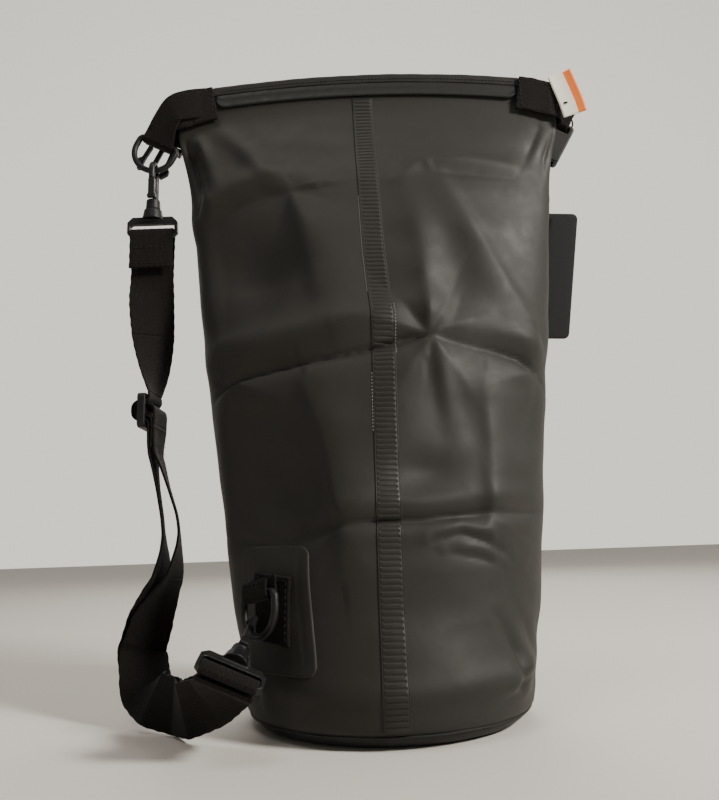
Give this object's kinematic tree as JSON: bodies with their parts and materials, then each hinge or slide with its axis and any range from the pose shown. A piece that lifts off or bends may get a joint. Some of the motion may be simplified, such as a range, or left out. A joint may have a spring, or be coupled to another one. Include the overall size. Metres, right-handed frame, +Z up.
{
  "type": "roll-top dry bag",
  "caption": "Filled roll-top dry bag with a flat stiffened mouth, buckle halves on its ends, welded seam, round base and a detachable shoulder strap on swivel hooks.",
  "frame": {"origin": "centre of the round base, on the floor", "axes": "+Z up; +X to the right along the flat mouth; -Y is the side with the seam, which faces the viewer"},
  "size_m": [0.3199, 0.191, 0.4288],
  "materials": {
    "coated_fabric": "matte coated woven fabric",
    "seam_tape": "embossed welded tape, slightly glossy",
    "webbing": "ribbed woven webbing",
    "black_plastic": "moulded, semi gloss",
    "card": "printed card, blank",
    "ticket_paper": "paper, blank, with an orange stripe"
  },
  "bodies": {
    "bag": {"body_tube": "coated_fabric", "base_panel": "coated_fabric", "seam_tape": "seam_tape", "strap_patch": "coated_fabric", "patch_webbing": "webbing", "strap_upper": "webbing", "strap_outer": "webbing", "strap_inner": "webbing", "patch_loop": "webbing", "d_ring_webbing": "webbing"},
    "mouth": {"mouth_tube": "coated_fabric", "hem_band": "coated_fabric", "stiffener_front": "black_plastic", "stiffener_back": "black_plastic", "end_tab_left": "webbing", "end_tab_right": "webbing", "seam_tape_top": "seam_tape", "buckle_webbing_left": "webbing", "buckle_webbing_right": "webbing"},
    "upper_ring": {"upper_d_ring": "black_plastic"},
    "upper_base": {"upper_swivel_base": "black_plastic"},
    "upper_hook_body": {"upper_hook": "black_plastic"},
    "upper_gate_body": {"upper_gate": "black_plastic"},
    "strap_slider": {"slider": "black_plastic"},
    "lower_ring": {"lower_d_ring": "black_plastic"},
    "lower_base": {"lower_swivel_base": "black_plastic"},
    "lower_hook_body": {"lower_hook": "black_plastic"},
    "lower_gate_body": {"lower_gate": "black_plastic"},
    "male_half": {"male_buckle": "black_plastic"},
    "prong_right": {"male_prong_right": "black_plastic"},
    "prong_left": {"male_prong_left": "black_plastic"},
    "female_half": {"female_buckle": "black_plastic"},
    "swing_card": {"swing_tag": "card", "tag_loop": "black_plastic"},
    "ticket": {"price_ticket": "ticket_paper", "ticket_barb": "black_plastic"}
  },
  "joints": [
    {"name": "mouth_fold", "type": "hinge", "parent": "bag", "child": "mouth", "pos_m": [0, 0, 0.386], "axis": [1, 0, 0], "range_deg": [0, 90], "deforming": ["d_ring_webbing", "tag_loop"]},
    {"name": "upper_hanger_swing", "type": "hinge", "parent": "bag", "child": "upper_base", "pos_m": [-0.1446, 0, 0.377], "axis": [0.8924, 0, -0.4512], "range_deg": [-15, 4], "deforming": ["strap_upper"]},
    {"name": "upper_ring_swing", "type": "hinge", "parent": "bag", "child": "upper_ring", "pos_m": [-0.1446, 0, 0.377], "axis": [0.8924, 0, -0.4512], "range_deg": [-15, 4]},
    {"name": "upper_hook_swivel", "type": "hinge", "parent": "upper_base", "child": "upper_hook_body", "pos_m": [-0.148, 0, 0.33], "axis": [0, 0, 1], "range_deg": [-12, 12]},
    {"name": "upper_gate_open", "type": "hinge", "parent": "upper_hook_body", "child": "upper_gate_body", "pos_m": [-0.148, -0.0049, 0.3353], "axis": [-1, 0, 0], "range_deg": [0, 12], "stiffness_Nm_per_rad": 0.05},
    {"name": "slider_slide", "type": "slide", "parent": "bag", "child": "strap_slider", "axis": [0, 0, 1], "range_m": [-0.015, 0.03]},
    {"name": "lower_hanger_swing", "type": "hinge", "parent": "bag", "child": "lower_base", "pos_m": [-0.0684, -0.0652, 0.0752], "axis": [-0.6804, 0.7142, -0.1645], "range_deg": [0, 30], "deforming": ["strap_outer", "strap_inner"]},
    {"name": "lower_ring_swing", "type": "hinge", "parent": "bag", "child": "lower_ring", "pos_m": [-0.0684, -0.0652, 0.0752], "axis": [-0.6804, 0.7142, -0.1645], "range_deg": [0, 30]},
    {"name": "lower_hook_swivel", "type": "hinge", "parent": "lower_base", "child": "lower_hook_body", "pos_m": [-0.07651, -0.08441, 0.04665], "axis": [0.084, 0.9165, 0.3912], "range_deg": [-8, 8]},
    {"name": "lower_gate_open", "type": "hinge", "parent": "lower_hook_body", "child": "lower_gate_body", "pos_m": [-0.07794, -0.07469, 0.04602], "axis": [0.8957, 0.1026, -0.4327], "range_deg": [0, 12], "stiffness_Nm_per_rad": 0.05},
    {"name": "male_half_swing", "type": "hinge", "parent": "mouth", "child": "male_half", "pos_m": [-0.141, 0.0114, 0.388], "axis": [0.8924, 0, -0.4512], "range_deg": [0, 20]},
    {"name": "prong_right_squeeze", "type": "hinge", "parent": "male_half", "child": "prong_right", "pos_m": [-0.13883, 0.0114, 0.37413], "axis": [0, 1, 0], "range_deg": [0, 5], "stiffness_Nm_per_rad": 0.08},
    {"name": "prong_left_squeeze", "type": "hinge", "parent": "male_half", "child": "prong_left", "pos_m": [-0.15346, 0.0114, 0.38153], "axis": [0, -1, 0], "range_deg": [0, 5], "stiffness_Nm_per_rad": 0.08},
    {"name": "female_half_swing", "type": "hinge", "parent": "mouth", "child": "female_half", "pos_m": [0.13345, 0.0138, 0.39005], "axis": [0.866, 0, -0.5], "range_deg": [0, 12]},
    {"name": "card_swing", "type": "hinge", "parent": "bag", "child": "swing_card", "pos_m": [0.137, 0.0138, 0.3962], "axis": [1, 0, 0], "range_deg": [0, 25]},
    {"name": "ticket_tilt", "type": "hinge", "parent": "mouth", "child": "ticket", "pos_m": [0.1396, 0.0059, 0.3946], "axis": [0, 1, 0], "range_deg": [0, 20]}
  ],
  "couplings": [
    {"joint": "upper_ring_swing", "follows": "upper_hanger_swing", "ratio": 1},
    {"joint": "lower_ring_swing", "follows": "lower_hanger_swing", "ratio": 1}
  ]
}
